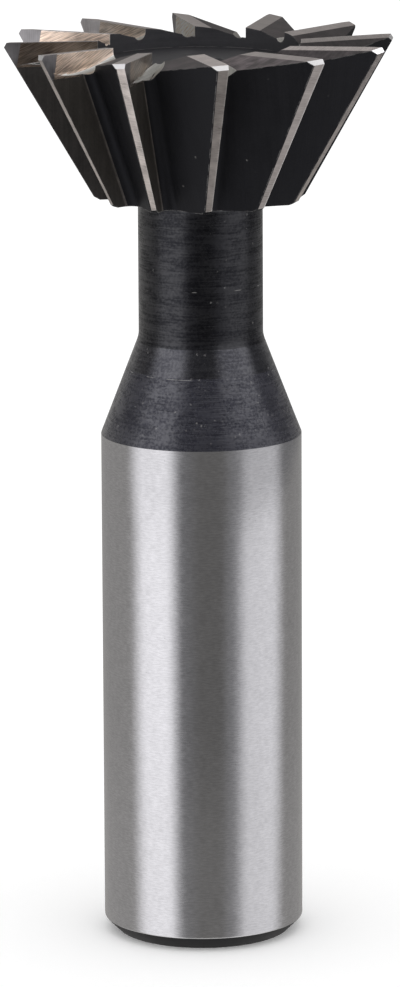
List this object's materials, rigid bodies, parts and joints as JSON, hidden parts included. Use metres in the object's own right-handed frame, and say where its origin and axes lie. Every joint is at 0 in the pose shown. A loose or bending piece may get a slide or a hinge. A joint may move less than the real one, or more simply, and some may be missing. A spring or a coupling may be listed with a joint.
{
  "type": "dovetail milling cutter",
  "caption": "Solid dovetail milling cutter with a flared head of straight relieved teeth, a slim neck, a taper and a plain round shank, for cutting undercut slots.",
  "frame": {"origin": "centre of the shank's end face, on the cutter's axis", "axes": "+Z along the axis from the shank's end to the cutting end; +X through the corner of one tooth"},
  "size_m": [0.031, 0.031, 0.0724],
  "materials": {
    "steel": "ground bright on the shank and on the lands of the teeth; blackened on the taper, the neck, the flutes and the end recess"
  },
  "bodies": {
    "root": {"dovetail_cutter": "steel"}
  },
  "joints": []
}
